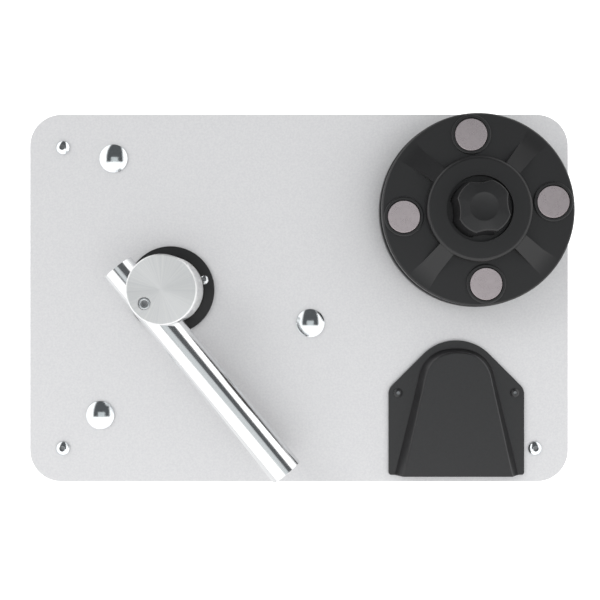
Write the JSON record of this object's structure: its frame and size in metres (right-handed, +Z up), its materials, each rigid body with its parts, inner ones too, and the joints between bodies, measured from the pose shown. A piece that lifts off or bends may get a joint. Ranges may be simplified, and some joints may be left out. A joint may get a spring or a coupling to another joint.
{
  "type": "record cleaning machine",
  "caption": "Box-shaped record cleaning machine with a turning platter under a lift-off record clamp, a swinging suction arm and a low exhaust hood.",
  "frame": {"origin": "middle of the machine's footprint, on the surface that it stands on", "axes": "+X along the long side to the right, +Y to the rear, +Z up"},
  "size_m": [0.308, 0.21, 0.2486],
  "materials": {
    "plate_aluminium": "fine bead-blasted, clear anodised",
    "case_aluminium": "fine bead-blasted, clear anodised",
    "rear_panel_black": "matte black powder coat",
    "base_steel": "zinc-plated sheet",
    "zinc_steel": "bright zinc",
    "screw_steel": "turned, bright",
    "black_steel": "matte black powder coat",
    "turned_aluminium": "fine turned and brushed, clear anodised",
    "polished_aluminium": "polished",
    "fan_aluminium": "as cast",
    "clamp_plastic": "fine matte, moulded",
    "magnet_nickel": "nickel plated, satin",
    "bearing_bronze": "sintered bronze",
    "motor_steel": "drawn steel can",
    "bush_plastic": "natural bearing plastic",
    "gear_plastic": "white acetal",
    "tank_plastic": "milky polyethylene",
    "black_rubber": "matte",
    "velvet_pad": "short-pile velvet",
    "black_plastic": "moulded, fine texture",
    "rocker_plastic": "moulded, semi-gloss",
    "clear_tube": "clear flexible tube",
    "board_green": "green circuit board"
  },
  "bodies": {
    "base": {"arm_column": "screw_steel", "base_plate": "base_steel", "bearing_nut": "zinc_steel", "case_body": "case_aluminium", "column_flange": "black_steel", "exhaust_hood": "black_steel", "flange_screw_1": "screw_steel", "flange_screw_2": "screw_steel", "flange_screw_3": "screw_steel", "foot_front": "black_rubber", "foot_rear": "black_rubber", "gear_motor": "motor_steel", "hood_screw_1": "black_steel", "hood_screw_2": "black_steel", "level_tube": "clear_tube", "level_tube_holder": "black_plastic", "motor_bracket": "base_steel", "plate_screw_1": "zinc_steel", "plate_screw_2": "zinc_steel", "plate_screw_3": "zinc_steel", "plate_screw_4": "zinc_steel", "power_board": "board_green", "power_inlet": "black_plastic", "rear_panel": "rear_panel_black", "spindle_bearing": "bearing_bronze", "suction_hose": "black_rubber", "switch_housing": "black_plastic", "tank_body": "tank_plastic", "tank_bolt_1": "zinc_steel", "tank_bolt_2": "zinc_steel", "tank_bolt_3": "zinc_steel", "tank_gasket": "black_rubber", "tank_lid": "tank_plastic", "top_plate": "plate_aluminium", "turbine_casing": "black_plastic", "turbine_cover": "black_plastic", "turbine_motor": "motor_steel"},
    "platter": {"platter": "black_steel", "platter_mat": "black_rubber", "spindle": "screw_steel", "drive_gear": "gear_plastic"},
    "clamp": {"clamp_disc": "clamp_plastic", "clamp_knob": "clamp_plastic", "clamp_magnet_1": "magnet_nickel", "clamp_magnet_2": "magnet_nickel", "clamp_magnet_3": "magnet_nickel", "clamp_magnet_4": "magnet_nickel", "clamp_seal": "black_rubber"},
    "pinion": {"motor_pinion": "screw_steel"},
    "fan": {"turbine_fan": "fan_aluminium"},
    "swivel": {"swivel_bush": "bush_plastic"},
    "arm": {"arm_hub": "turned_aluminium", "arm_tube": "polished_aluminium", "tube_plug_1": "polished_aluminium", "tube_plug_2": "polished_aluminium", "suction_pad": "velvet_pad", "hub_screw": "screw_steel"},
    "direction_switch": {"direction_rocker": "rocker_plastic"},
    "vacuum_switch": {"vacuum_rocker": "rocker_plastic"},
    "stopper": {"level_stopper": "black_rubber"}
  },
  "joints": [
    {"name": "platter_spin", "type": "hinge", "parent": "base", "child": "platter", "pos_m": [0.0981, 0.0485, 0.2035], "axis": [0, 0, 1], "continuous": true},
    {"name": "clamp_lift", "type": "slide", "parent": "platter", "child": "clamp", "axis": [0, 0, 1], "range_m": [0, 0.04]},
    {"name": "pinion_spin", "type": "hinge", "parent": "base", "child": "pinion", "pos_m": [0.0581, 0.0485, 0.1826], "axis": [0, 0, 1], "continuous": true},
    {"name": "fan_spin", "type": "hinge", "parent": "base", "child": "fan", "pos_m": [0.0858, -0.027, 0.0869], "axis": [0, 0, 1], "continuous": true},
    {"name": "arm_swivel", "type": "hinge", "parent": "base", "child": "swivel", "pos_m": [-0.0733, 0.0045, 0.2055], "axis": [0, 0, 1], "continuous": true},
    {"name": "arm_lift", "type": "slide", "parent": "swivel", "child": "arm", "axis": [0, 0, 1], "range_m": [0, 0.008]},
    {"name": "direction_rocker_tilt", "type": "hinge", "parent": "base", "child": "direction_switch", "pos_m": [0.028, -0.0961, 0.1599], "axis": [1, 0, 0], "range_deg": [-9, 9]},
    {"name": "vacuum_rocker_tilt", "type": "hinge", "parent": "base", "child": "vacuum_switch", "pos_m": [0.048, -0.0961, 0.1599], "axis": [1, 0, 0], "range_deg": [-18, 0]},
    {"name": "stopper_lift", "type": "slide", "parent": "base", "child": "stopper", "axis": [0, 0, 1], "range_m": [0, 0.016]}
  ],
  "couplings": [
    {"joint": "pinion_spin", "follows": "platter_spin", "ratio": -3}
  ]
}
